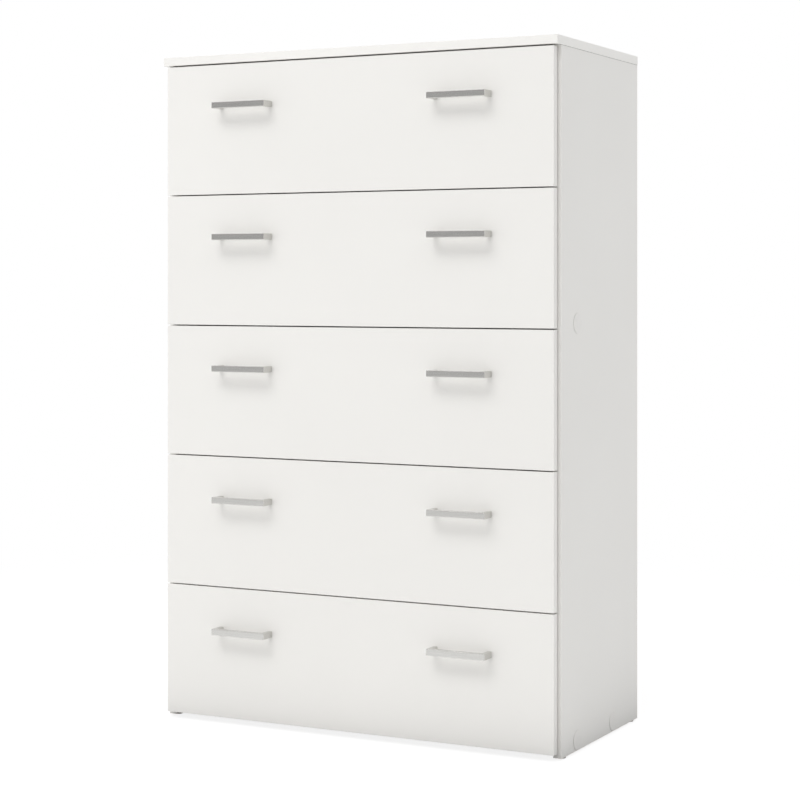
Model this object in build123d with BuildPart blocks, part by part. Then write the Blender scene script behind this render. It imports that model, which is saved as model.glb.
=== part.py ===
"""Tall chest of five drawers in white faced board, with two metal bow handles on each drawer.

Millimetres. X runs to the right as seen from the front, Y to the back and Z up. The origin lies
on the floor, in the middle of the width and of the whole depth from handle faces to rear edges.
Drawers are numbered from the top. A sign of -1 means the left side and +1 the right.
"""

import os

from build123d import *

# Carcass
overall_height = 1190.0
carcass_width = 768.0
body_depth = 368.0  # drawer faces to the rear edges of the sides
board = 15.0  # top, sides, bottom and rail
edge_radius = 0.8  # eased edges of the top, the side panels and the drawer fronts
top_end_overhang = 1.0
top_front_overhang = 1.5
bottom_rise = 2.9  # bottom panel's underside above the lowest front's lower edge
rail_width = 130.0
rail_setback = 3.0
rail_under_drawer = 2
hardboard = 3.0  # back panel and drawer floors
back_inset = 10.0  # back panel in from the rear edges
back_groove = 6.0
groove_play = 0.4

# Glides under the side panels
glide_height = 3.0
glide_radius = 7.0
glide_inset = 19.0
glide_nail_radius = 1.25
glide_nail_length = 14.0

# Drawer fronts
drawer_count = 5
front_thickness = 15.0
front_gap = 2.2
top_gap = 2.6
front_reveal = 6.5  # side panel's edge that shows beside each end of a front
front_standoff = 2.0
front_rise = 7.6  # lowest front above the lower edges of the side panels

# Drawer boxes
drawer_board = 12.0
box_clearance = 11.0  # drawer box above the rail or bottom panel level
side_drop = 54.6  # drawer side's top edge below the top edge of its front
rear_clearance = 15.0
floor_lift = 12.0
floor_groove = 5.0

# Roller runners
runner_space = 12.5  # side panel to drawer side
runner_tail = 25.0  # drawer side that reaches past its runner
runner_setback = 2.0
sheet = 1.2
lip_gap = 0.6  # between the lips of the two runners
roller_radius = 9.0
roller_play = 0.3
roller_end = 2.0  # roller's rim in from the runner's end
axis_clearance = 1.0
pin_radius = 2.0
pin_collar_radius = 3.2
pin_play = 0.05

# Bow handles
handle_length = 108.0
handle_height = 11.0
handle_reach = 29.0
handle_bar = 8.0
handle_leg = 8.0
handle_spread = 212.0  # handle's middle from the middle of the front
handle_drop = 74.5  # handle's middle below the top edge of its front
handle_corner = 1.5
handle_edge_radius = 0.8

# Fasteners
screw_play = 0.05
side_bolt_radius = 3.5
side_bolt_length = 50.0
side_bolt_head_radius = 5.0
side_bolt_head = 4.0
rear_bolt_inset = 120.0
cap_radius = 17.0
cap_thickness = 0.8
cap_edge_radius = 0.5
cam_setback = 24.0
cam_bolt_radius = 3.0
top_cam_radius = 7.5
top_cam_depth = 12.0
cam_bolt_bite = 10.0
drawer_cam_radius = 6.0
drawer_cam_depth = 9.0
drawer_cam_low = 40.0
drawer_cam_high = 30.0
back_screw_radius = 2.0
back_screw_length = 40.0
back_screw_head_radius = 3.5
back_screw_head = 2.5
back_screw_low = 45.0
back_screw_high = 25.0
runner_screw_radius = 1.75
runner_screw_head_radius = 3.0
runner_screw_bite = 9.0
runner_screw_inset = 60.0
handle_screw_radius = 2.0
handle_screw_bite = 12.0
handle_screw_head_radius = 4.0
handle_screw_head = 2.4

# Places across the width
carcass_half = carcass_width / 2
inner_half = carcass_half - board
box_half = inner_half - runner_space
front_width = carcass_width - 2 * front_reveal

# Places along the depth
rear = (handle_reach + body_depth) / 2
face = rear - body_depth
front_back = face + front_thickness
carcass_front = front_back + front_standoff
back_panel_front = rear - back_inset - hardboard
box_rear = back_panel_front - rear_clearance
box_length = box_rear - front_back
runner_length = box_length - runner_tail
cabinet_runner_front = carcass_front + runner_setback
cabinet_runner_rear = cabinet_runner_front + runner_length
drawer_runner_front = front_back + runner_setback
drawer_runner_rear = drawer_runner_front + runner_length
roller_inset = roller_radius + roller_end
rail_front = carcass_front + rail_setback
front_bolt_y = rail_front + rail_width / 2
rear_bolt_y = rear - rear_bolt_inset
carcass_depth = rear - carcass_front

# Places up the height
side_foot = glide_height
top_underside = overall_height - board
lowest_front = side_foot + front_rise
fronts_span = top_underside - top_gap - lowest_front
front_height = (fronts_span - (drawer_count - 1) * front_gap) / drawer_count
box_lift = board + box_clearance
side_height = front_height - box_lift - side_drop
axis_rise = roller_radius + axis_clearance
bottom_foot = lowest_front + bottom_rise
top_cam_z = top_underside - cam_setback

# Section of the runners, from the side panel's face and from the roller's axis
channel_half = roller_radius + roller_play
lip = (runner_space - lip_gap) / 2
roller_width = lip - sheet - roller_play
pin_length = runner_space - 2 * sheet - roller_play
pin_collar_length = pin_length - roller_width - roller_play
web_height = sheet + axis_rise + channel_half + sheet

RIGHT = (1, 0, 0)
LEFT = (-1, 0, 0)
BACK = (0, 1, 0)
FRONT = (0, -1, 0)
UP = (0, 0, 1)
DOWN = (0, 0, -1)
FROM_BASE = (Align.CENTER, Align.CENTER, Align.MIN)
SIGNS = (-1, 1)
DRAWERS = range(1, drawer_count + 1)


def front_foot(number):
    """Height of the lower edge of a drawer's front."""
    return lowest_front + (drawer_count - number) * (front_height + front_gap)


def box_foot(number):
    """Height of the lower edge of a drawer's box."""
    return front_foot(number) + box_lift


def roller_axis(number):
    """Height of the axis of a drawer's rollers."""
    return box_foot(number) + axis_rise


def outward(sign):
    """Direction away from the middle on one side."""
    return RIGHT if sign > 0 else LEFT


def inward(sign):
    """Direction towards the middle from one side."""
    return outward(-sign)


def aligned(direction, places):
    """Working planes at the given places, all facing one way."""
    return [Plane(origin=place, z_dir=direction) for place in places]


def rods(direction, places, radius, length):
    """Add a round rod at each place to the piece being built."""
    with Locations(*aligned(direction, places)):
        Cylinder(radius, length, align=FROM_BASE)


def bores(direction, places, radius, depth):
    """Cut a round hole at each place into the piece being built."""
    with Locations(*aligned(direction, places)):
        Cylinder(radius, depth, align=FROM_BASE, mode=Mode.SUBTRACT)


def across(y):
    """Sketch plane across the depth at y: its x is X, its y is Z and it faces the front."""
    return Plane(origin=(0, y, 0), x_dir=RIGHT, z_dir=FRONT)


def corners(xs, ys, zs):
    """Every place that takes one of each of the given coordinates."""
    return [(x, y, z) for x in xs for y in ys for z in zs]


rail_foot = front_foot(rail_under_drawer)
rail_bolt = (front_bolt_y, rail_foot + board / 2)
bottom_bolts = [(front_bolt_y, bottom_foot + board / 2), (rear_bolt_y, bottom_foot + board / 2)]
side_bolts = [rail_bolt] + bottom_bolts
glide_places = [carcass_front + glide_inset, rear - glide_inset]
top_cam_places = [front_bolt_y, rear_bolt_y]
runner_screw_insets = [runner_screw_inset, runner_length - runner_screw_inset]
cabinet_screw_places = [cabinet_runner_front + inset for inset in runner_screw_insets]
drawer_screw_places = [drawer_runner_front + inset for inset in runner_screw_insets]
roller_axes = [roller_axis(number) for number in DRAWERS]
handle_leg_offset = (handle_length - handle_leg) / 2
handle_legs = [side * handle_spread + end * handle_leg_offset for side in SIGNS for end in SIGNS]


def drawer_cams(number):
    """Heights of the cam fittings that hold a drawer's front."""
    return [box_foot(number) + drawer_cam_low, box_foot(number) + side_height - drawer_cam_high]


def back_screws(number):
    """Heights of the screws through a drawer's side into its back."""
    return [box_foot(number) + back_screw_low, box_foot(number) + side_height - back_screw_high]


def handle_level(number):
    """Height of the middle of a drawer's handles."""
    return front_foot(number) + front_height - handle_drop


def make_top_panel():
    """Flat top that lies on the sides and stands a little proud of the drawer fronts."""
    top_front = face - top_front_overhang
    with BuildPart() as panel:
        with BuildSketch(Plane.XY.offset(top_underside)):
            with Locations((0, (top_front + rear) / 2)):
                Rectangle(carcass_width + 2 * top_end_overhang, rear - top_front)
        extrude(amount=board)
        fillet(panel.faces().sort_by(Axis.Z)[-1].edges(), edge_radius)
        with BuildSketch(Plane.XY.offset(top_underside)):
            with Locations((0, back_panel_front + hardboard / 2)):
                Rectangle(2 * (inner_half + back_groove), hardboard)
        extrude(amount=back_groove, mode=Mode.SUBTRACT)
        middles = [sign * (inner_half + board / 2) for sign in SIGNS]
        bolts = corners(middles, top_cam_places, [top_underside])
        bores(UP, bolts, cam_bolt_radius + screw_play, cam_bolt_bite + screw_play)
    return panel.part


def make_side_panel(sign):
    """Upright side that stands on two glides and carries the cabinet runners."""
    inner = sign * inner_half
    middle = sign * (inner_half + board / 2)
    bolts = [(sign * carcass_half, y, z) for y, z in side_bolts]
    cams = corners([inner], top_cam_places, [top_cam_z])
    cam_bolts = corners([middle], top_cam_places, [top_underside])
    glide_nails = corners([middle], glide_places, [side_foot])
    runner_screws = corners([inner], cabinet_screw_places, roller_axes)
    with BuildPart() as panel:
        with BuildSketch(Plane.XY.offset(side_foot)):
            with Locations((middle, carcass_front + carcass_depth / 2)):
                Rectangle(board, carcass_depth)
        extrude(amount=top_underside - side_foot)
        fillet(panel.edges().filter_by(Axis.Z).group_by(Axis.Y)[0], edge_radius)
        with BuildSketch(Plane.XY.offset(bottom_foot)):
            with Locations((sign * (inner_half + back_groove / 2), back_panel_front + hardboard / 2)):
                Rectangle(back_groove, hardboard)
        extrude(amount=top_underside - bottom_foot, mode=Mode.SUBTRACT)
        bores(inward(sign), bolts, side_bolt_radius + screw_play, board)
        bores(inward(sign), bolts, side_bolt_head_radius + screw_play, side_bolt_head)
        bores(outward(sign), cams, top_cam_radius + screw_play, top_cam_depth)
        bores(DOWN, cam_bolts, cam_bolt_radius + screw_play, cam_setback)
        bores(UP, glide_nails, glide_nail_radius + screw_play, glide_nail_length)
        bores(outward(sign), runner_screws, runner_screw_radius + screw_play, runner_screw_bite)
    return panel.part


def make_cross_board(foot, near, far, bolts):
    """Board between the sides, from near to far in depth, with holes for bolts in both ends."""
    with BuildPart() as cross:
        with BuildSketch(Plane.XY.offset(foot)):
            with Locations((0, (near + far) / 2)):
                Rectangle(2 * inner_half, far - near)
        extrude(amount=board)
        for sign in SIGNS:
            ends = [(sign * inner_half, y, z) for y, z in bolts]
            depth = side_bolt_length - board + screw_play
            bores(inward(sign), ends, side_bolt_radius + screw_play, depth)
    return cross.part


def make_back_panel():
    """Hardboard back in the grooves of the sides and the top."""
    height = top_underside + back_groove - groove_play - bottom_foot
    with BuildPart() as panel:
        with BuildSketch(across(back_panel_front + hardboard)):
            with Locations((0, bottom_foot + height / 2)):
                Rectangle(2 * (inner_half + back_groove - groove_play), height)
        extrude(amount=hardboard)
    return panel.part


def make_glides():
    """Four nail-in glides under the side panels."""
    middles = [sign * (inner_half + board / 2) for sign in SIGNS]
    places = corners(middles, glide_places, [0])
    with BuildPart() as glides:
        rods(UP, places, glide_radius, glide_height)
        rods(UP, places, glide_nail_radius, glide_height + glide_nail_length - screw_play)
    return glides.part


def make_side_cover_caps():
    """Round caps over the bolt heads in the side panels."""
    with BuildPart() as caps:
        for sign in SIGNS:
            places = [(sign * carcass_half, y, z) for y, z in side_bolts]
            rods(outward(sign), places, cap_radius, cap_thickness)
        rims = caps.edges().group_by(Axis.X)
        fillet(rims[0] + rims[-1], cap_edge_radius)
    return caps.part


def make_carcass_fasteners():
    """Side bolts, cam fittings of the top and screws of the cabinet runners."""
    cam_bolt_length = cam_bolt_bite + cam_setback
    with BuildPart() as fasteners:
        for sign in SIGNS:
            bolts = [(sign * carcass_half, y, z) for y, z in side_bolts]
            cams = corners([sign * inner_half], top_cam_places, [top_cam_z])
            middle = sign * (inner_half + board / 2)
            cam_bolts = corners([middle], top_cam_places, [top_underside + cam_bolt_bite])
            screws = corners([sign * (inner_half - sheet)], cabinet_screw_places, roller_axes)
            rods(outward(sign), cams, top_cam_radius, top_cam_depth)
            bores(DOWN, cam_bolts, cam_bolt_radius + screw_play, cam_bolt_length + screw_play)
            rods(DOWN, cam_bolts, cam_bolt_radius, cam_bolt_length)
            rods(inward(sign), bolts, side_bolt_radius, side_bolt_length)
            rods(inward(sign), bolts, side_bolt_head_radius, side_bolt_head)
            rods(outward(sign), screws, runner_screw_radius, sheet + runner_screw_bite)
            rods(outward(sign), screws, runner_screw_head_radius, sheet)
    return fasteners.part


def make_cabinet_runners():
    """Channels on the side panels, each with a pin at its front end for a roller."""
    pins = corners([-inner_half + sheet], [cabinet_runner_front + roller_inset], roller_axes)
    screws = corners([-inner_half], cabinet_screw_places, roller_axes)
    with BuildPart() as runners:
        with BuildSketch(across(cabinet_runner_rear)):
            with Locations(*[(-inner_half, axis) for axis in roller_axes]):
                Rectangle(lip, 2 * (channel_half + sheet), align=(Align.MIN, Align.CENTER))
            with Locations(*[(-inner_half + sheet, axis) for axis in roller_axes]):
                Rectangle(lip, 2 * channel_half, align=(Align.MIN, Align.CENTER), mode=Mode.SUBTRACT)
        extrude(amount=runner_length)
        bores(RIGHT, screws, runner_screw_head_radius + screw_play, sheet)
        rods(RIGHT, pins, pin_radius, pin_length)
        rods(RIGHT, pins, pin_collar_radius, pin_collar_length)
        mirror(about=Plane.YZ)
    return runners.part


def make_drawer_runners(number):
    """Angles under the drawer sides, each with a lip and a pin at its rear end for a roller."""
    axis = roller_axis(number)
    pins = [(-box_half - sheet, drawer_runner_rear - roller_inset, axis)]
    screws = corners([-box_half], drawer_screw_places, [axis])
    with BuildPart() as runners:
        with BuildSketch(across(drawer_runner_rear)):
            with Locations((-box_half, axis + channel_half)):
                Rectangle(lip, sheet, align=(Align.MAX, Align.MIN))
            with Locations((-box_half, box_foot(number) - sheet)):
                Rectangle(sheet, web_height, align=(Align.MAX, Align.MIN))
                Rectangle(drawer_board, sheet, align=(Align.MIN, Align.MIN))
        extrude(amount=runner_length)
        bores(LEFT, screws, runner_screw_head_radius + screw_play, sheet)
        rods(LEFT, pins, pin_radius, pin_length)
        rods(LEFT, pins, pin_collar_radius, pin_collar_length)
        mirror(about=Plane.YZ)
    return runners.part


def make_rollers(number, y, near):
    """Pair of rollers on one axis: near is the gap between a roller and its side panel."""
    place = [(-inner_half + near, y, roller_axis(number))]
    with BuildPart() as rollers:
        rods(RIGHT, place, roller_radius, roller_width)
        bores(RIGHT, place, pin_radius + pin_play, roller_width)
        mirror(about=Plane.YZ)
    return rollers.part


def make_front_rollers(number):
    """Rollers on the cabinet runners, which carry the lips of the drawer runners."""
    near = runner_space - sheet - roller_play - roller_width
    return make_rollers(number, cabinet_runner_front + roller_inset, near)


def make_rear_rollers(number):
    """Rollers on the drawer runners, which run in the channels of the cabinet runners."""
    return make_rollers(number, drawer_runner_rear - roller_inset, sheet + roller_play)


def make_drawer_front(number):
    """Slab front with eased edges that covers the front edges of the carcass."""
    groove_foot = box_foot(number) + floor_lift
    side_middles = [sign * (box_half - drawer_board / 2) for sign in SIGNS]
    handle_screws = corners(handle_legs, [front_back], [handle_level(number)])
    cam_bolts = corners(side_middles, [front_back], drawer_cams(number))
    with BuildPart() as front:
        with BuildSketch(across(front_back)):
            with Locations((0, front_foot(number) + front_height / 2)):
                Rectangle(front_width, front_height)
        extrude(amount=front_thickness)
        fillet(front.faces().sort_by(Axis.Y)[0].edges(), edge_radius)
        with BuildSketch(across(front_back)):
            with Locations((0, groove_foot + hardboard / 2)):
                Rectangle(2 * (box_half - drawer_board + floor_groove), hardboard)
        extrude(amount=floor_groove, mode=Mode.SUBTRACT)
        bores(FRONT, handle_screws, handle_screw_radius + screw_play, front_thickness)
        bores(FRONT, cam_bolts, cam_bolt_radius + screw_play, cam_bolt_bite + screw_play)
    return front.part


def make_drawer_side(number, sign):
    """Side of a drawer's box, with a groove for the floor."""
    foot = box_foot(number)
    outer = sign * box_half
    middle = sign * (box_half - drawer_board / 2)
    inner = sign * (box_half - drawer_board)
    cams = corners([inner], [front_back + cam_setback], drawer_cams(number))
    cam_bolts = corners([middle], [front_back], drawer_cams(number))
    screws = corners([outer], [box_rear - drawer_board / 2], back_screws(number))
    runner_screws = corners([outer], drawer_screw_places, [roller_axis(number)])
    with BuildPart() as side:
        with BuildSketch(across(box_rear)):
            with Locations((middle, foot + side_height / 2)):
                Rectangle(drawer_board, side_height)
            with Locations((inner + sign * floor_groove / 2, foot + floor_lift + hardboard / 2)):
                Rectangle(floor_groove, hardboard, mode=Mode.SUBTRACT)
        extrude(amount=box_length)
        bores(outward(sign), cams, drawer_cam_radius + screw_play, drawer_cam_depth)
        bores(BACK, cam_bolts, cam_bolt_radius + screw_play, cam_setback)
        bores(inward(sign), screws, back_screw_radius + screw_play, drawer_board)
        bores(inward(sign), screws, back_screw_head_radius + screw_play, back_screw_head)
        bores(inward(sign), runner_screws, runner_screw_radius + screw_play, runner_screw_bite)
    return side.part


def make_drawer_back(number):
    """Back of a drawer's box, which stands on the floor between the sides."""
    foot = box_foot(number) + floor_lift + hardboard
    height = box_foot(number) + side_height - foot
    half = box_half - drawer_board
    with BuildPart() as back:
        with BuildSketch(across(box_rear)):
            with Locations((0, foot + height / 2)):
                Rectangle(2 * half, height)
        extrude(amount=drawer_board)
        for sign in SIGNS:
            screws = corners([sign * half], [box_rear - drawer_board / 2], back_screws(number))
            depth = back_screw_length - drawer_board + screw_play
            bores(inward(sign), screws, back_screw_radius + screw_play, depth)
    return back.part


def make_drawer_floor(number):
    """Hardboard floor in the grooves of the sides and the front."""
    floor_front = front_back - floor_groove + groove_play
    half = box_half - drawer_board + floor_groove - groove_play
    with BuildPart() as floor:
        with BuildSketch(Plane.XY.offset(box_foot(number) + floor_lift)):
            with Locations((0, (floor_front + box_rear) / 2)):
                Rectangle(2 * half, box_rear - floor_front)
        extrude(amount=hardboard)
    return floor.part


def make_handles(number):
    """Two bow handles, each a square bar between two square legs."""
    finger_width = handle_length - 2 * handle_leg
    finger_gap = handle_reach - handle_bar
    on_face = (Align.CENTER, Align.MAX)
    screws = corners(handle_legs, [face], [handle_level(number)])
    with BuildPart() as handles:
        with BuildSketch(Plane.XY.offset(handle_level(number) - handle_height / 2)) as bow:
            with Locations((-handle_spread, face), (handle_spread, face)):
                Rectangle(handle_length, handle_reach, align=on_face)
                Rectangle(finger_width, finger_gap, align=on_face, mode=Mode.SUBTRACT)
            fillet(bow.vertices().group_by(Axis.Y)[0], handle_corner)
        extrude(amount=handle_height)
        levels = handles.edges().group_by(Axis.Z)
        fillet(levels[0] + levels[-1], handle_edge_radius)
        bores(FRONT, screws, handle_screw_radius + screw_play, handle_screw_bite + screw_play)
    return handles.part


def make_drawer_fasteners(number):
    """Handle screws, cam fittings of the front, screws of the back and of the runners."""
    cam_bolt_length = cam_bolt_bite + cam_setback
    handle_screws = corners(handle_legs, [front_back], [handle_level(number)])
    with BuildPart() as fasteners:
        rods(FRONT, handle_screws, handle_screw_radius, front_thickness + handle_screw_bite)
        rods(BACK, handle_screws, handle_screw_head_radius, handle_screw_head)
        for sign in SIGNS:
            inner = sign * (box_half - drawer_board)
            middle = sign * (box_half - drawer_board / 2)
            cams = corners([inner], [front_back + cam_setback], drawer_cams(number))
            cam_bolts = corners([middle], [front_back - cam_bolt_bite], drawer_cams(number))
            screws = corners([sign * box_half], [box_rear - drawer_board / 2], back_screws(number))
            web = sign * (box_half + sheet)
            runner_screws = corners([web], drawer_screw_places, [roller_axis(number)])
            rods(outward(sign), cams, drawer_cam_radius, drawer_cam_depth)
            bores(BACK, cam_bolts, cam_bolt_radius + screw_play, cam_bolt_length + screw_play)
            rods(BACK, cam_bolts, cam_bolt_radius, cam_bolt_length)
            rods(inward(sign), screws, back_screw_radius, back_screw_length)
            rods(inward(sign), screws, back_screw_head_radius, back_screw_head)
            rods(inward(sign), runner_screws, runner_screw_radius, sheet + runner_screw_bite)
            rods(inward(sign), runner_screws, runner_screw_head_radius, sheet)
    return fasteners.part


pieces = {
    "top_panel": make_top_panel(),
    "left_side_panel": make_side_panel(-1),
    "right_side_panel": make_side_panel(1),
    "bottom_panel": make_cross_board(bottom_foot, carcass_front, back_panel_front, bottom_bolts),
    "middle_rail": make_cross_board(rail_foot, rail_front, rail_front + rail_width, [rail_bolt]),
    "back_panel": make_back_panel(),
    "glides": make_glides(),
    "side_cover_caps": make_side_cover_caps(),
    "carcass_fasteners": make_carcass_fasteners(),
    "cabinet_runners": make_cabinet_runners(),
}
for drawer in DRAWERS:
    pieces[f"drawer_{drawer}_front"] = make_drawer_front(drawer)
    pieces[f"drawer_{drawer}_left_side"] = make_drawer_side(drawer, -1)
    pieces[f"drawer_{drawer}_right_side"] = make_drawer_side(drawer, 1)
    pieces[f"drawer_{drawer}_back"] = make_drawer_back(drawer)
    pieces[f"drawer_{drawer}_floor"] = make_drawer_floor(drawer)
    pieces[f"drawer_{drawer}_handles"] = make_handles(drawer)
    pieces[f"drawer_{drawer}_runners"] = make_drawer_runners(drawer)
    pieces[f"drawer_{drawer}_fasteners"] = make_drawer_fasteners(drawer)
    pieces[f"drawer_{drawer}_rear_rollers"] = make_rear_rollers(drawer)
    pieces[f"drawer_{drawer}_front_rollers"] = make_front_rollers(drawer)

os.makedirs("parts", exist_ok=True)
for name, piece in pieces.items():
    piece.label = name
    export_step(piece, f"parts/{name}.step")
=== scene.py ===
"""Looks of a tall white chest of five drawers with metal bow handles.

Metres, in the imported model's own frame: X to the right, Y to the back and Z up.
"""

import math

import bpy
import numpy as np
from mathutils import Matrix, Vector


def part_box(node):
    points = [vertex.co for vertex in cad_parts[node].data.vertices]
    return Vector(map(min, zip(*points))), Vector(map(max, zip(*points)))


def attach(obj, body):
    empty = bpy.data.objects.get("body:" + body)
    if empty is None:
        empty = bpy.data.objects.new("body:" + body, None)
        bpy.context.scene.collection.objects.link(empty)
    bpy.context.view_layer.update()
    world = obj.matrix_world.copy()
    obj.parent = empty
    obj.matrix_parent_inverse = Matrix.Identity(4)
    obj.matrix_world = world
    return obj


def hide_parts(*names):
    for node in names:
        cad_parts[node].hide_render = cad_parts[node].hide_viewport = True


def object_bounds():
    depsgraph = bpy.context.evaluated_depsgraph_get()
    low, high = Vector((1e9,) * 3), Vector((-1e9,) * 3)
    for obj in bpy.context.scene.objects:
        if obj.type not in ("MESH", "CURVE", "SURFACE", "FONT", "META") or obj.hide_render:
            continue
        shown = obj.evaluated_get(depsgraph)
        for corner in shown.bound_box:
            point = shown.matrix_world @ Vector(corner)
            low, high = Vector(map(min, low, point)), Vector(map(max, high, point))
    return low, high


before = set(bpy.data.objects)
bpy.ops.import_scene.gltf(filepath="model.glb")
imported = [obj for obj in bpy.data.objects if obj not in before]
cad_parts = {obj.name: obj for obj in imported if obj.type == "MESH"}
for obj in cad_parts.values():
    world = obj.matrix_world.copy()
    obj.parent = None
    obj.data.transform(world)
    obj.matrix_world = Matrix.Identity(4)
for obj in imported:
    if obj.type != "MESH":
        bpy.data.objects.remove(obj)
cad_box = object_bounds()

bl_info = {
    "name": "Tall chest of drawers",
    "version": (1, 0, 0),
    "blender": (4, 5, 0),
    "location": "3D View > Sidebar > Chest",
    "description": "Dresses the packed chest of drawers and sets up its studio",
    "category": "Object",
}

MM = 0.001
DRAWERS = range(1, 6)
X, Y, Z = 0, 1, 2
REAR = (0, 1, 0)
# The plane of the drawer faces.
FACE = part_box("drawer_1_front")[0].y
# Corners of an outline are this much rounder than its edges, so drawing it in leaves them round.
CORNER = 1.25
# Faces that meet at more than this angle have a sharp edge.
CREASE = math.radians(40)


def linear(code):
    """Linear RGBA of an sRGB hex colour such as "#F1EFEB"."""
    srgb = np.array([int(code[i : i + 2], 16) for i in (1, 3, 5)]) / 255
    rgb = np.where(srgb <= 0.04045, srgb / 12.92, ((srgb + 0.055) / 1.055) ** 2.4)
    return (*rgb.tolist(), 1.0)


def shade(rgba, factor):
    """A colour made lighter or darker by a factor."""
    return (*[min(1.0, c * factor) for c in rgba[:3]], 1.0)


def colour(name, description, code):
    """A colour property whose default is an sRGB hex value."""
    return bpy.props.FloatVectorProperty(
        name=name, description=description, subtype="COLOR", size=4, min=0, max=1, default=linear(code)
    )


def length(name, description, default):
    """A length property in metres."""
    return bpy.props.FloatProperty(
        name=name, description=description, default=default, min=0, unit="LENGTH", precision=5
    )


class ChestColours(bpy.types.PropertyGroup):
    """Colours of the chest's finishes."""

    melamine: colour("Melamine", "White faces of the boards", "#F2F0EC")
    edging: colour("Edging", "White plastic strip on the boards' edges", "#F7F5F1")
    chipboard: colour("Chipboard", "Core that shows on bare edges", "#B79B72")
    foil: colour("Foil", "White foil round the drawer boards", "#ECEBE7")
    hardboard: colour("Hardboard", "Bare side of the back and the drawer floors", "#8A6846")
    lacquer: colour("Lacquer", "White side of the back and the drawer floors", "#E9E7E1")
    handle: colour("Handle metal", "Satin grey metal of the bow handles", "#D2D1CE")
    cap: colour("Cap plastic", "Cover caps on the sides", "#F2F0EC")
    glide: colour("Glide plastic", "Glides under the sides", "#D9D8D4")
    runner: colour("Runner coating", "White coating of the steel runners", "#E8E7E3")
    roller: colour("Roller nylon", "Rollers of the runners", "#DDDCD6")
    zinc: colour("Zinc plating", "Screws, bolts and cams", "#B9BBBE")
    floor: colour("Studio floor", "Pale floor under the chest", "#F1F1F1")


class ChestSizes(bpy.types.PropertyGroup):
    """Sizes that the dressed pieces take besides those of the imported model."""

    edge_radius: length("Edge radius", "Rounding of the boards' edges", 0.5 * MM)
    handle_length: length("Handle length", "Bow handle from end to end", 108 * MM)
    handle_bar: length("Handle bar", "Depth of the bow handle's bar", 8 * MM)
    handle_leg: length("Handle leg", "Width of the bow handle's legs", 8 * MM)
    handle_radius: length("Handle edge radius", "Rounding of the handle's long edges", 0.9 * MM)
    cap_radius: length("Cap radius", "Cover cap's outer radius", 17 * MM)
    cap_seam: length("Cap seam", "Shadow gap between a cover cap's rim and the board", 0.3 * MM)
    glide_radius: length("Glide radius", "Glide's outer radius", 7 * MM)
    glide_height: length("Glide height", "Glide below the side panel", 3 * MM)
    roller_width: length("Roller width", "Roller along its axis", 4.45 * MM)
    roller_bore: length("Roller bore", "Radius of the roller's bore", 2.05 * MM)


def add_node(tree, kind, inputs=None, **settings):
    """Add a node, set its properties, and set or link its inputs."""
    made = tree.nodes.new(kind)
    for name, value in settings.items():
        setattr(made, name, value)
    for key, value in (inputs or {}).items():
        if isinstance(value, bpy.types.NodeSocket):
            tree.links.new(value, made.inputs[key])
        else:
            made.inputs[key].default_value = value
    return made


def new_material(name):
    """An empty node material with its tree and its place on the piece in metres."""
    material = bpy.data.materials.new(name)
    material.use_nodes = True
    material.node_tree.nodes.clear()
    place = add_node(material.node_tree, "ShaderNodeTexCoord").outputs["Object"]
    return material, material.node_tree, place


def drifting(tree, place, size, dark, light, detail=2.0):
    """Colour that drifts from dark to light over patches of the given size, one number or one per axis."""
    scaled = add_node(tree, "ShaderNodeMapping", {"Vector": place, "Scale": 1 / np.broadcast_to(size, 3)})
    inputs = {"Vector": scaled.outputs["Vector"], "Scale": 1.0, "Detail": detail}
    patches = add_node(tree, "ShaderNodeTexNoise", inputs)
    inputs = {"Value": patches.outputs["Fac"], "From Min": 0.3, "From Max": 0.7}
    share = add_node(tree, "ShaderNodeMapRange", inputs)
    inputs = {"Factor": share.outputs["Result"], 6: dark, 7: light}
    return add_node(tree, "ShaderNodeMix", inputs, data_type="RGBA").outputs[2]


def finish(tree, place, tone, grain, depth, **gloss):
    """Close a material with its colour, its gloss and a grain of the given size that stands out by depth."""
    scaled = add_node(tree, "ShaderNodeMapping", {"Vector": place, "Scale": 1 / np.broadcast_to(grain, 3)})
    inputs = {"Vector": scaled.outputs["Vector"], "Scale": 1.0, "Detail": 2.0}
    relief = add_node(tree, "ShaderNodeTexNoise", inputs)
    inputs = {"Height": relief.outputs["Fac"], "Distance": depth, "Strength": 1.0}
    bump = add_node(tree, "ShaderNodeBump", inputs)
    inputs = {"Base Color": tone, "Normal": bump.outputs["Normal"], **gloss}
    surface = add_node(tree, "ShaderNodeBsdfPrincipled", inputs)
    add_node(tree, "ShaderNodeOutputMaterial", {"Surface": surface.outputs["BSDF"]})


def melamine_white(tree, place, colours):
    """White of a melamine face, with a slight cloudiness from one end of a board to the other."""
    base = tuple(colours.melamine)
    return drifting(tree, place, 350 * MM, shade(base, 0.988), shade(base, 1.008))


def melamine_finish(tree, place, tone):
    """Satin sheen of melamine, over the pearl of its pressing plate.

    The pearl's real cells are about 0.6 mm wide, drawn at 2.5 mm to show at all.
    """
    finish(tree, place, tone, 2.5 * MM, 0.02 * MM, Roughness=0.42, IOR=1.49)


def sawn_chips(tree, place, colours):
    """Colour of chipboard sawn across its chips, which are about 4 mm wide in pale and dark browns."""
    base = tuple(colours.chipboard)
    chips = add_node(tree, "ShaderNodeTexVoronoi", {"Vector": place, "Scale": 1 / (4 * MM)})
    inputs = {"Value": chips.outputs["Distance"], "From Min": 0.1, "From Max": 0.8}
    share = add_node(tree, "ShaderNodeMapRange", inputs)
    inputs = {"Factor": share.outputs["Result"], 6: shade(base, 0.7), 7: shade(base, 1.2)}
    return add_node(tree, "ShaderNodeMix", inputs, data_type="RGBA").outputs[2]


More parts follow.
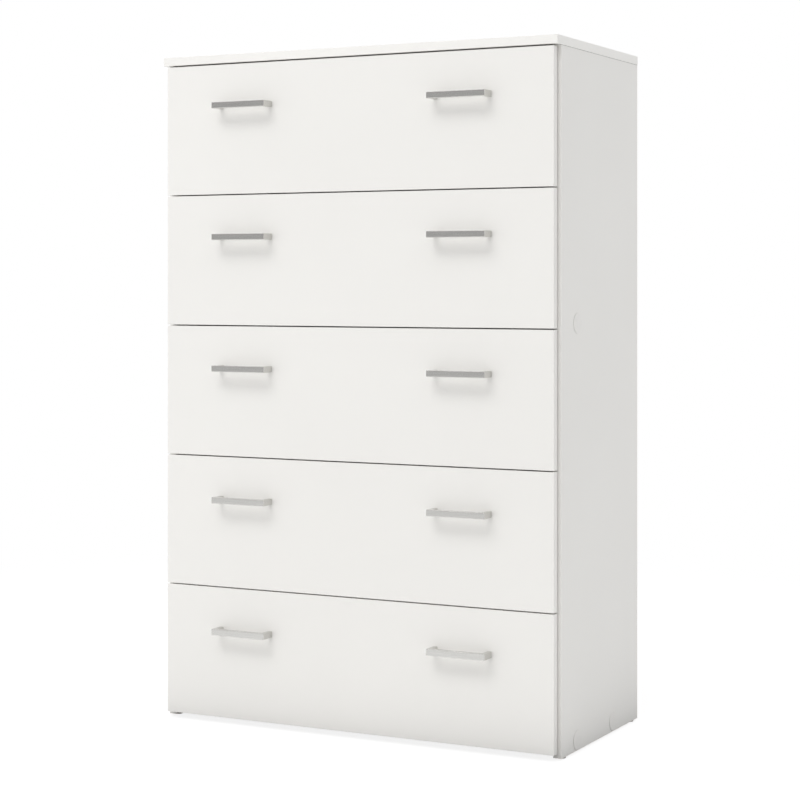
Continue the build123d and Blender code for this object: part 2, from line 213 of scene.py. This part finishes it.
def melamine(colours):
    """Melamine-faced chipboard, pressed against a lightly pearled plate.

    The eye sees an even warm white with a soft satin sheen and a faint unevenness in its gloss.
    """
    material, tree, place = new_material("White melamine board")
    melamine_finish(tree, place, melamine_white(tree, place, colours))
    return material


def side_board(colours):
    """Melamine board of the sides, with bare chipboard on its rear and lower edges.

    From the front it is the same white as the fronts, and from behind the chips show. Under the top, half a
    millimetre of the side's top edge is painted dark: painted shade for the shadow in the joint.
    """
    material, tree, place = new_material("White melamine side board")
    low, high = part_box("left_side_panel")
    skin, painted_shade_width = 0.2 * MM, 0.5 * MM
    at = add_node(tree, "ShaderNodeSeparateXYZ", {"Vector": place}).outputs
    behind = add_node(tree, "ShaderNodeMath", {0: at["Y"], 1: high.y - skin}, operation="GREATER_THAN")
    below = add_node(tree, "ShaderNodeMath", {0: at["Z"], 1: low.z + skin}, operation="LESS_THAN")
    inputs = {0: behind.outputs[0], 1: below.outputs[0]}
    bare = add_node(tree, "ShaderNodeMath", inputs, operation="MAXIMUM").outputs[0]
    # Painted shade: the top half millimetre of the side is painted dark, for the shadow in the joint under
    # the top.
    inputs = {0: at["Z"], 1: high.z - painted_shade_width}
    painted_joint_shade = add_node(tree, "ShaderNodeMath", inputs, operation="GREATER_THAN").outputs[0]
    white, dark = melamine_white(tree, place, colours), shade(tuple(colours.melamine), 0.2)
    tone = add_node(tree, "ShaderNodeMix", {"Factor": painted_joint_shade, 6: white, 7: dark}, data_type="RGBA")
    inputs = {"Factor": bare, 6: tone.outputs[2], 7: sawn_chips(tree, place, colours)}
    tone = add_node(tree, "ShaderNodeMix", inputs, data_type="RGBA")
    melamine_finish(tree, place, tone.outputs[2])
    return material


def edging(colours):
    """ABS edging, an extruded strip glued to the boards' edges.

    It is a shade smoother than the faces, with faint cutter marks about 1.2 mm apart on the level edges.
    """
    material, tree, place = new_material("White ABS edging")
    base = tuple(colours.edging)
    tone = drifting(tree, place, 120 * MM, shade(base, 0.985), base)
    marks = 1.2 * MM, 48 * MM, 48 * MM
    finish(tree, place, tone, marks, 0.01 * MM, Roughness=0.36, IOR=1.53)
    return material


def chipboard(colours):
    """Bare chipboard on the edges that nobody sees, rough and dull."""
    material, tree, place = new_material("Raw chipboard edge")
    finish(tree, place, sawn_chips(tree, place, colours), 1.5 * MM, 0.3 * MM, Roughness=0.85)
    return material


def foil(colours):
    """Paper foil wrapped round the drawer boards, matt and white."""
    material, tree, place = new_material("White foil-wrapped board")
    base = tuple(colours.foil)
    tone = drifting(tree, place, 90 * MM, shade(base, 0.98), base)
    finish(tree, place, tone, 3 * MM, 0.03 * MM, Roughness=0.55, IOR=1.5)
    return material


def hardboard(colours, axis, sign):
    """Hardboard, lacquered white on one side and bare brown on the other.

    The bare side faces along sign times axis. The eye sees its fibres and the screen's weave of about 1.5 mm.
    """
    material, tree, place = new_material("Hardboard, white on one side")
    facing = add_node(tree, "ShaderNodeTexCoord").outputs["Normal"]
    parts = add_node(tree, "ShaderNodeSeparateXYZ", {"Vector": facing}).outputs
    bare = add_node(tree, "ShaderNodeMath", {0: parts[axis], 1: float(sign)}, operation="MULTIPLY")
    inputs = {"Value": bare.outputs["Value"], "From Min": 0.5, "From Max": 0.6}
    share = add_node(tree, "ShaderNodeMapRange", inputs)
    base = tuple(colours.hardboard)
    brown = drifting(tree, place, 6 * MM, shade(base, 0.8), shade(base, 1.15), detail=6.0)
    inputs = {"Factor": share.outputs["Result"], 6: tuple(colours.lacquer), 7: brown}
    tone = add_node(tree, "ShaderNodeMix", inputs, data_type="RGBA")
    inputs = {"Vector": place, "Scale": 1 / (1.5 * MM)}
    weave = add_node(tree, "ShaderNodeTexVoronoi", inputs, feature="SMOOTH_F1")
    inputs = {"Height": weave.outputs["Distance"], "Distance": 0.05 * MM, "Strength": 1.0}
    bump = add_node(tree, "ShaderNodeBump", inputs)
    inputs = {"Base Color": tone.outputs[2], "Normal": bump.outputs["Normal"], "Roughness": 0.6}
    surface = add_node(tree, "ShaderNodeBsdfPrincipled", inputs)
    add_node(tree, "ShaderNodeOutputMaterial", {"Surface": surface.outputs["BSDF"]})
    return material


def satin_metal(colours):
    """Die-cast zinc handle, satin plated: a grey metal with fine brushing along the bar.

    The brushing's real lines are about 0.1 mm apart, drawn at 0.4 mm to show at all.
    """
    material, tree, place = new_material("Satin plated zinc")
    base = tuple(colours.handle)
    brushing = 48 * MM, 0.4 * MM, 0.4 * MM
    tone = drifting(tree, place, brushing, shade(base, 0.93), shade(base, 1.05))
    finish(tree, place, tone, brushing, 0.01 * MM, Roughness=0.24, Metallic=1.0)
    return material


def moulded(name, base, roughness, ior):
    """Moulded plastic: an even colour with slight flow marks and a fine eroded grain."""
    material, tree, place = new_material(name)
    tone = drifting(tree, place, 12 * MM, shade(base, 0.97), base)
    finish(tree, place, tone, 0.8 * MM, 0.02 * MM, Roughness=roughness, IOR=ior)
    return material


def epoxy_steel(colours):
    """Steel strip with a white epoxy powder coat, which flows to a soft orange peel of about 2 mm."""
    material, tree, place = new_material("White epoxy-coated steel")
    base = tuple(colours.runner)
    tone = drifting(tree, place, 50 * MM, shade(base, 0.97), base)
    finish(tree, place, tone, 2 * MM, 0.04 * MM, Roughness=0.32, IOR=1.55)
    return material


def zinc_steel(colours):
    """Zinc-plated steel screws, bolts and cams: bright grey with cloudy plating."""
    material, tree, place = new_material("Zinc-plated steel")
    base = tuple(colours.zinc)
    tone = drifting(tree, place, 2 * MM, shade(base, 0.85), shade(base, 1.08))
    finish(tree, place, tone, 2 * MM, 0.01 * MM, Roughness=0.34, Metallic=1.0)
    return material


def turned(points, radius, steps=4):
    """Round a polygon's corners: M corners become M times steps + 1 points.

    At each corner the heading turns evenly from the incoming to the outgoing edge, and the points lie
    at radius from the corner's centre, square to that heading.
    """
    corner = np.asarray(points, float)
    before = corner - np.roll(corner, 1, axis=0)
    after = np.roll(before, -1, axis=0)
    heading = np.arctan2(before[:, 1], before[:, 0])
    turn = (np.arctan2(after[:, 1], after[:, 0]) - heading + np.pi) % (2 * np.pi) - np.pi
    way = np.stack([np.cos(heading), np.sin(heading)], 1)
    left = np.stack([-way[:, 1], way[:, 0]], 1)
    side = np.sign(turn)[:, None] * radius
    start = corner - way * radius * np.tan(np.abs(turn) / 2)[:, None]
    angle = heading[:, None] + turn[:, None] * np.linspace(0, 1, steps + 1)
    across = np.stack([-np.sin(angle), np.cos(angle)], 2)
    return ((start + side * left)[:, None] - side[:, None] * across).reshape(-1, 2)


def rectangle(low, high, radius):
    """Anticlockwise rectangle with rounded corners."""
    (a, b), (c, d) = low, high
    return turned([(a, b), (c, b), (c, d), (a, d)], radius)


def circle(centre, radius, count=48):
    """Anticlockwise circle."""
    angle = np.linspace(0, 2 * np.pi, count, endpoint=False)
    return np.asarray(centre) + radius * np.stack([np.cos(angle), np.sin(angle)], 1)


def inset(outline, distance):
    """Move an anticlockwise outline inwards, with mitred corners."""
    edge = np.roll(outline, -1, axis=0) - outline
    edge /= np.linalg.norm(edge, axis=1, keepdims=True)
    after = np.stack([-edge[:, 1], edge[:, 0]], 1)
    before = np.roll(after, 1, axis=0)
    mitre = (before + after) / (1 + (before * after).sum(1, keepdims=True))
    return outline + mitre * distance


def stacked(outlines, levels, axis):
    """Rings of points: outline k lies across axis at level k."""
    rings = np.zeros((len(outlines), len(outlines[0]), 3))
    rings[..., axis] = np.asarray(levels)[:, None]
    rings[..., (axis + 1) % 3] = np.asarray(outlines)[..., 0]
    rings[..., (axis + 2) % 3] = np.asarray(outlines)[..., 1]
    return rings


def eased_slab(outline, low, high, radius, axis, steps=4):
    """Flat slab whose long edges are quarter rounds.

    The outline is carried from low to high along axis. Over the first and last radius it is drawn in by
    radius times 1 - sin t, at radius times 1 - cos t from the face, for t from 0 to a right angle.
    """
    t = np.linspace(0, np.pi / 2, steps + 1)
    depth = radius * (1 - np.cos(t))
    draw = radius * (1 - np.sin(t))
    levels = np.concatenate([low + depth, (high - depth)[::-1]])
    draws = np.concatenate([draw, draw[::-1]])
    return stacked([inset(outline, d) for d in draws], levels, axis)


def revolved(centre, profile, axis):
    """Surface of revolution: each (radius, level) of the profile is a circle about axis."""
    return stacked([circle(centre, r) for r, _ in profile], [level for _, level in profile], axis)


def make_piece(name, stacks, materials, closed=False, face_slot=None):
    """Mesh object from stacks of rings.

    Quads join each ring to the next. Flat faces close a stack's ends, or its last ring joins its first.
    face_slot gives the quads' material slots from a stack's rings. All other faces take slot 0.
    """
    points, faces, slots = [], [], []
    for rings in stacks:
        base = sum(len(p) for p in points)
        count, size = rings.shape[:2]
        index = base + np.arange(count * size).reshape(count, size)
        upper = np.roll(index, -1, axis=0) if closed else index[1:]
        lower = index if closed else index[:-1]
        quads = np.stack([lower, np.roll(lower, -1, 1), np.roll(upper, -1, 1), upper], -1)
        points.append(rings.reshape(-1, 3))
        faces += quads.reshape(-1, 4).tolist()
        slots += [0] * lower.size if face_slot is None else face_slot(rings).reshape(-1).tolist()
        if not closed:
            faces += [index[0, ::-1].tolist(), index[-1].tolist()]
            slots += [0, 0]
    mesh = bpy.data.meshes.new(name)
    mesh.from_pydata(np.concatenate(points).tolist(), [], faces)
    mesh.polygons.foreach_set("material_index", slots)
    mesh.polygons.foreach_set("use_smooth", [True] * len(faces))
    mesh.set_sharp_from_angle(angle=CREASE)
    for material in materials:
        mesh.materials.append(material)
    made = bpy.data.objects.new(name, mesh)
    bpy.context.scene.collection.objects.link(made)
    made.modifiers.new("Flat faces stay flat", "WEIGHTED_NORMAL").keep_sharp = True
    return made


def edge_slots(bare):
    """Slots for a board's edge quads: 1 for edging, and 2 where the board is bare.

    It is bare where the outline runs square to one of the bare directions, within 2 mm of the board's end.
    """

    def slots(rings):
        step = np.roll(rings, -1, axis=1) - rings
        flat = np.zeros(rings.shape[:2], bool)
        for way in bare:
            level = (rings * way).sum(-1)
            square = np.abs((step * way).sum(-1)) < 0.001 * MM
            flat |= square & (level > level.max() - 2 * MM)
        return np.where(flat, 2, 1)[:-1]

    return slots


def place_piece(made, body, slot, *nodes):
    """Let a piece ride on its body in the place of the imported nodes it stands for."""
    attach(made, body)
    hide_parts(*nodes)


def dress(names, material):
    """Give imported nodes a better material."""
    for name in names:
        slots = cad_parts[name].data.materials
        slots.clear()
        slots.append(material)


def board_piece(node, axis, body, materials, radius, bare=()):
    """Replace a packed board by a slab with eased edges, edging and bare chipboard where it has none."""
    low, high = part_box(node)
    u, v = (axis + 1) % 3, (axis + 2) % 3
    outline = rectangle((low[u], low[v]), (high[u], high[v]), radius * CORNER)
    rings = eased_slab(outline, low[axis], high[axis], radius, axis)
    made = make_piece(f"{node}_board", [rings], materials, face_slot=edge_slots(bare))
    place_piece(made, body, "white_board", node)


class CHEST_OT_boards(bpy.types.Operator):
    """Top, sides and drawer fronts as melamine boards with plastic edging"""

    bl_idname = "chest.boards"
    bl_label = "Boards"

    def execute(self, context):
        colours = context.scene.chest_colours
        radius = context.scene.chest_sizes.edge_radius
        finishes = [melamine(colours), edging(colours), chipboard(colours)]
        board_piece("top_panel", Z, "carcass", finishes, radius, [REAR])
        dress(["left_side_panel", "right_side_panel"], side_board(colours))
        for number in DRAWERS:
            board_piece(f"drawer_{number}_front", Y, f"drawer_{number}", finishes, radius)
        dress(["bottom_panel", "middle_rail"], finishes[0])
        return {"FINISHED"}


class CHEST_OT_hardboard(bpy.types.Operator):
    """Back panel and drawer floors of one-sided hardboard"""

    bl_idname = "chest.hardboard"
    bl_label = "Hardboard"

    def execute(self, context):
        colours = context.scene.chest_colours
        dress(["back_panel"], hardboard(colours, Y, 1))
        dress([f"drawer_{number}_floor" for number in DRAWERS], hardboard(colours, Z, -1))
        return {"FINISHED"}


class CHEST_OT_drawer_boxes(bpy.types.Operator):
    """Sides and backs of the drawer boxes in white foil"""

    bl_idname = "chest.drawer_boxes"
    bl_label = "Drawer boxes"

    def execute(self, context):
        pieces = ("left_side", "right_side", "back")
        names = [f"drawer_{number}_{piece}" for number in DRAWERS for piece in pieces]
        dress(names, foil(context.scene.chest_colours))
        return {"FINISHED"}


class CHEST_OT_handles(bpy.types.Operator):
    """Two bow handles on each drawer"""

    bl_idname = "chest.handles"
    bl_label = "Bow handles"

    def execute(self, context):
        sizes = context.scene.chest_sizes
        metal = satin_metal(context.scene.chest_colours)
        half = sizes.handle_length / 2
        for number in DRAWERS:
            node = f"drawer_{number}_handles"
            low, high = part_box(node)
            bar = low.y + sizes.handle_bar
            stacks = []
            for middle in (low.x + half, high.x - half):
                ends = middle - half, middle + half
                legs = ends[0] + sizes.handle_leg, ends[1] - sizes.handle_leg
                bow = [
                    (ends[0], high.y),
                    (ends[0], low.y),
                    (ends[1], low.y),
                    (ends[1], high.y),
                    (legs[1], high.y),
                    (legs[1], bar),
                    (legs[0], bar),
                    (legs[0], high.y),
                ]
                outline = turned(bow, sizes.handle_radius * CORNER)
                stacks.append(eased_slab(outline, low.z, high.z, sizes.handle_radius, Z))
            made = make_piece(f"drawer_{number}_bow_handles", stacks, [metal])
            place_piece(made, f"drawer_{number}", "handle_metal", node)
        return {"FINISHED"}


class CHEST_OT_caps(bpy.types.Operator):
    """Round cover caps on the side panels

    Over a narrow foot the rim is a quarter round: radius less ease times 1 - cos t, at thickness less
    ease times 1 - sin t, for t from 0 to a right angle. A small flat middle closes it.
    """

    bl_idname = "chest.caps"
    bl_label = "Cover caps"

    def execute(self, context):
        sizes = context.scene.chest_sizes
        radius, seam = sizes.cap_radius, sizes.cap_seam
        plastic = moulded("White cap plastic", tuple(context.scene.chest_colours.cap), 0.42, 1.49)
        node = "side_cover_caps"
        low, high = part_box(node)
        thickness = high.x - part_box("right_side_panel")[1].x
        near, far = low.y + radius, high.y - radius
        centres = [(near, high.z - radius), (near, low.z + radius), (far, low.z + radius)]
        ease, drawn, middle = (thickness - seam) / 2, radius - 2 * seam, radius / 10
        t = np.linspace(0, np.pi / 2, 5)
        rim = np.stack([radius - ease * (1 - np.cos(t)), thickness - ease * (1 - np.sin(t))], 1)
        foot = [(drawn, 0), (drawn, seam), (radius, seam)]
        profile = np.concatenate([foot, rim, [(middle, thickness)]])
        stacks = []
        for centre in centres:
            stacks.append(revolved(centre, [(r, high.x - thickness + h) for r, h in profile], X))
            stacks.append(revolved(centre, [(r, low.x + thickness - h) for r, h in profile[::-1]], X))
        place_piece(make_piece("side_caps", stacks, [plastic]), "carcass", "cap_plastic", node)
        return {"FINISHED"}


class CHEST_OT_glides(bpy.types.Operator):
    """Round glides under the side panels

    The lower half of a glide's height is a quarter round, from the floor up to its full radius.
    """

    bl_idname = "chest.glides"
    bl_label = "Glides"

    def execute(self, context):
        sizes = context.scene.chest_sizes
        radius, height = sizes.glide_radius, sizes.glide_height
        plastic = moulded("Pale glide plastic", tuple(context.scene.chest_colours.glide), 0.45, 1.5)
        low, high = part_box("glides")
        ease = height / 2
        t = np.linspace(0, np.pi / 2, 6)
        foot = np.stack([radius - ease * (1 - np.sin(t)), ease * (1 - np.cos(t))], 1)
        profile = [*foot, (radius, height)]
        centres = [
            (x, y)
            for x in (low.x + radius, high.x - radius)
            for y in (low.y + radius, high.y - radius)
        ]
        stacks = [revolved(centre, profile, Z) for centre in centres]
        place_piece(make_piece("floor_glides", stacks, [plastic]), "carcass", "glide_plastic", "glides")
        return {"FINISHED"}


class CHEST_OT_runners(bpy.types.Operator):
    """Coated steel runners, their rollers and all fasteners"""

    bl_idname = "chest.runners"
    bl_label = "Runners, rollers and fasteners"

    def execute(self, context):
        colours = context.scene.chest_colours
        runners = [f"drawer_{number}_runners" for number in DRAWERS]
        fasteners = [f"drawer_{number}_fasteners" for number in DRAWERS]
        dress(["cabinet_runners"] + runners, epoxy_steel(colours))
        dress(["carcass_fasteners"] + fasteners, zinc_steel(colours))
        nylon = moulded("White nylon", tuple(colours.roller), 0.38, 1.53)
        for number in DRAWERS:
            for place in ("front", "rear"):
                self.roller_pair(context.scene.chest_sizes, nylon, f"drawer_{number}_{place}_roller")
        return {"FINISHED"}

    def roller_pair(self, sizes, nylon, stem):
        """Two rollers: the section has a crowned tread, recessed faces and a raised hub round the bore."""
        node = f"{stem}s"
        low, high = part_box(node)
        radius = (high.z - low.z) / 2
        centre = (low.y + high.y) / 2, (low.z + high.z) / 2
        width, bore = sizes.roller_width, sizes.roller_bore
        shoulder, recess = width * 0.2, width * 0.18
        crown, rim, hub_foot = radius * 0.97, radius * 0.84, bore * 1.7
        rim_foot, hub = rim * 0.97, hub_foot * 0.95
        section = [
            (crown, 0),
            (radius, shoulder),
            (radius, width - shoulder),
            (crown, width),
            (rim, width),
            (rim_foot, width - recess),
            (hub_foot, width - recess),
            (hub, width),
            (bore, width),
            (bore, 0),
            (hub, 0),
            (hub_foot, recess),
            (rim_foot, recess),
            (rim, 0),
        ]
        stacks = [
            revolved(centre, [(r, start + level) for r, level in section], X)
            for start in (low.x, high.x - width)
        ]
        made = make_piece(f"{stem}_pair", stacks, [nylon], closed=True)
        place_piece(made, f"{stem}_pair", "roller_plastic", node)


class CHEST_OT_studio(bpy.types.Operator):
    """Pale floor, white surroundings, soft light and the camera"""

    bl_idname = "chest.studio"
    bl_label = "Studio"

    def execute(self, context):
        self.floor(context)
        self.surroundings(context)
        self.wall(context)
        self.softbox(context)
        self.camera(context)
        context.scene.view_settings.view_transform = "Standard"
        return {"FINISHED"}

    def plane(self, context, name, corners, material):
        """A flat stage surface."""
        mesh = bpy.data.meshes.new(name)
        mesh.from_pydata(corners, [], [range(len(corners))])
        mesh.materials.append(material)
        made = bpy.data.objects.new(name, mesh)
        context.scene.collection.objects.link(made)
        return made

    def seen(self, tree):
        """1 for camera, glossy and transmission rays, and 0 for the rest."""
        path = add_node(tree, "ShaderNodeLightPath")
        flags = [path.outputs[f"Is {kind} Ray"] for kind in ("Camera", "Glossy", "Transmission")]
        first = add_node(tree, "ShaderNodeMath", {0: flags[0], 1: flags[1]}, operation="MAXIMUM")
        both = add_node(tree, "ShaderNodeMath", {0: first.outputs[0], 1: flags[2]}, operation="MAXIMUM")
        return both.outputs[0]

    def floor(self, context):
        """Pale floor that keeps the chest's shadow faintly and runs out to plain white.

        Close to the chest its colour for bounced light is painted darker, a painted contact shade that
        darkens the chest towards its foot as in the photograph. The distance that counts is from a box round
        the chest, a little wider on the right and behind, slightly turned, and so high that only X and Y
        matter.
        """
        material, tree, place = new_material("Studio floor")
        low, high = cad_box
        right, behind, turn = 18 * MM, 60 * MM, math.radians(1.2)
        least = np.array((low.x, FACE, -1))
        most = np.array((high.x + right, high.y + behind, 1))
        half, middle = (most - least) / 2, (most + least) / 2
        inputs = {"Vector": place, "Location": -middle, "Rotation": (0, 0, turn)}
        out = add_node(tree, "ShaderNodeMapping", inputs)
        out = add_node(tree, "ShaderNodeVectorMath", {0: out.outputs[0]}, operation="ABSOLUTE")
        out = add_node(tree, "ShaderNodeVectorMath", {0: out.outputs[0], 1: half}, operation="SUBTRACT")
        out = add_node(tree, "ShaderNodeVectorMath", {0: out.outputs[0]}, operation="MAXIMUM")
        out = add_node(tree, "ShaderNodeVectorMath", {0: out.outputs[0]}, operation="LENGTH")
        away = out.outputs["Value"]

        tone = tuple(context.scene.chest_colours.floor)
        # Painted contact shade: within this reach of the chest, the colour that bounces light is painted
        # darker, down to this share of the floor's tone.
        painted_shade_depth, painted_shade_reach = 0.32, 85 * MM
        share = add_node(tree, "ShaderNodeMapRange", {"Value": away, "From Min": 0.0, "From Max": painted_shade_reach})
        inputs = {"Factor": share.outputs["Result"], 6: shade(tone, painted_shade_depth), 7: tone}
        foot = add_node(tree, "ShaderNodeMix", inputs, data_type="RGBA")
        bounce = add_node(tree, "ShaderNodeBsdfDiffuse", {"Color": foot.outputs[2]})

        shadow, lift = 0.25, 0.85
        plain = add_node(tree, "ShaderNodeBsdfDiffuse", {"Color": shade(tone, shadow)})
        glow = add_node(tree, "ShaderNodeEmission", {"Strength": lift})
        close = add_node(tree, "ShaderNodeAddShader", {0: plain.outputs[0], 1: glow.outputs[0]})
        white = add_node(tree, "ShaderNodeEmission", {"Strength": 1.0})
        shadow_reach, white_from = 0.5, 1.8
        inputs = {"Value": away, "From Min": shadow_reach, "From Max": white_from}
        fade = add_node(tree, "ShaderNodeMapRange", inputs, interpolation_type="SMOOTHSTEP")
        inputs = {0: fade.outputs["Result"], 1: close.outputs[0], 2: white.outputs[0]}
        shown = add_node(tree, "ShaderNodeMixShader", inputs)

        inputs = {0: self.seen(tree), 1: bounce.outputs[0], 2: shown.outputs[0]}
        surface = add_node(tree, "ShaderNodeMixShader", inputs)
        add_node(tree, "ShaderNodeOutputMaterial", {"Surface": surface.outputs[0]})
        reach, drop = 30.0, -0.3 * MM
        corners = [(-reach, -reach, drop), (reach, -reach, drop), (reach, reach, drop), (-reach, reach, drop)]
        self.plane(context, "studio_floor", corners, material)

    def surroundings(self, context):
        """White to look at, and as a light a slightly cool dome that is brighter overhead."""
        world = bpy.data.worlds.new("Studio surroundings")
        context.scene.world = world
        world.use_nodes = True
        tree = world.node_tree
        tree.nodes.clear()
        way = add_node(tree, "ShaderNodeTexCoord").outputs["Generated"]
        height = add_node(tree, "ShaderNodeSeparateXYZ", {"Vector": way}).outputs["Z"]
        horizon, overhead, cool = 0.421, 0.923, linear("#FDFEFF")
        # The dome has its full strength from about 37 degrees up.
        full = 0.6
        inputs = {"Value": height, "From Min": 0.0, "From Max": full, "To Min": horizon, "To Max": overhead}
        dome = add_node(tree, "ShaderNodeMapRange", inputs)
        soft = add_node(tree, "ShaderNodeBackground", {"Color": cool, "Strength": dome.outputs["Result"]})
        white = add_node(tree, "ShaderNodeBackground", {"Color": (1, 1, 1, 1), "Strength": 1.0})
        inputs = {0: self.seen(tree), 1: soft.outputs[0], 2: white.outputs[0]}
        mixed = add_node(tree, "ShaderNodeMixShader", inputs)
        add_node(tree, "ShaderNodeOutputWorld", {"Surface": mixed.outputs[0]})

    def wall(self, context):
        """Wall behind the camera, a light that falls off to the right and a grey for the metal to mirror."""
        material, tree, place = new_material("Studio wall")
        across = add_node(tree, "ShaderNodeSeparateXYZ", {"Vector": place}).outputs["X"]
        start, end = -1.5, 1.0
        bright, faint, grey = 1.3, 0.1, 0.48
        inputs = {"Value": across, "From Min": start, "From Max": end, "To Min": bright, "To Max": faint}
        falling = add_node(tree, "ShaderNodeMapRange", inputs)
        light = add_node(tree, "ShaderNodeEmission", {"Strength": falling.outputs["Result"]})
        mirrored = add_node(tree, "ShaderNodeEmission", {"Strength": grey})
        inputs = {0: self.seen(tree), 1: light.outputs[0], 2: mirrored.outputs[0]}
        surface = add_node(tree, "ShaderNodeMixShader", inputs)
        add_node(tree, "ShaderNodeOutputMaterial", {"Surface": surface.outputs[0]})
        left, right, front, top = -14, 12, -6, 3
        corners = [(left, front, 0), (right, front, 0), (right, front, top), (left, front, top)]
        self.plane(context, "studio_wall", corners, material).visible_camera = False

    def softbox(self, context):
        """One large softbox in front and above, for the soft shadows under the handles."""
        light = bpy.data.lights.new("key_softbox", "AREA")
        light.shape = "RECTANGLE"
        light.size, light.size_y = 4.5, 2.6
        light.energy = 146
        lamp = bpy.data.objects.new("key_softbox", light)
        lamp.location = (-0.6, -4.7, 6.3)
        ahead, down = 4.5, 4.6
        lamp.rotation_euler = (math.atan2(ahead, down), 0, 0)
        context.scene.collection.objects.link(lamp)

    def camera(self, context):
        """Level camera with a vertical shift, so that upright edges stay upright as in the photograph."""
        data = bpy.data.cameras.new("camera")
        focal_pixels, image_pixels, horizon = 2012.15, 800, 283.61
        data.sensor_width = 36.0
        data.lens = data.sensor_width * focal_pixels / image_pixels
        data.shift_y = (horizon - image_pixels / 2) / image_pixels
        made = bpy.data.objects.new("camera", data)
        aside, distance, eye, heading = 1.6615, 3.0374, 0.7826, math.radians(27.287)
        made.location = (aside, FACE - distance, eye)
        made.rotation_euler = (math.pi / 2, 0, heading)
        context.scene.collection.objects.link(made)
        context.scene.camera = made


OPERATORS = (
    CHEST_OT_boards,
    CHEST_OT_hardboard,
    CHEST_OT_drawer_boxes,
    CHEST_OT_handles,
    CHEST_OT_caps,
    CHEST_OT_glides,
    CHEST_OT_runners,
    CHEST_OT_studio,
)


class CHEST_PT_panel(bpy.types.Panel):
    """Lists the steps that dress the chest"""

    bl_idname = "CHEST_PT_panel"
    bl_label = "Chest of drawers"
    bl_space_type = "VIEW_3D"
    bl_region_type = "UI"
    bl_category = "Chest"

    def draw(self, context):
        for step in OPERATORS:
            self.layout.operator(step.bl_idname)
        for group in (context.scene.chest_sizes, context.scene.chest_colours):
            for name in type(group).__annotations__:
                self.layout.prop(group, name)


CLASSES = (ChestColours, ChestSizes, *OPERATORS, CHEST_PT_panel)


def register():
    for made in CLASSES:
        bpy.utils.register_class(made)
    bpy.types.Scene.chest_colours = bpy.props.PointerProperty(type=ChestColours)
    bpy.types.Scene.chest_sizes = bpy.props.PointerProperty(type=ChestSizes)


def unregister():
    del bpy.types.Scene.chest_sizes
    del bpy.types.Scene.chest_colours
    for made in reversed(CLASSES):
        bpy.utils.unregister_class(made)


def main():
    register()
    bpy.ops.chest.boards()
    bpy.ops.chest.hardboard()
    bpy.ops.chest.drawer_boxes()
    bpy.ops.chest.handles()
    bpy.ops.chest.caps()
    bpy.ops.chest.glides()
    bpy.ops.chest.runners()
    bpy.ops.chest.studio()


if __name__ == "__main__":
    main()
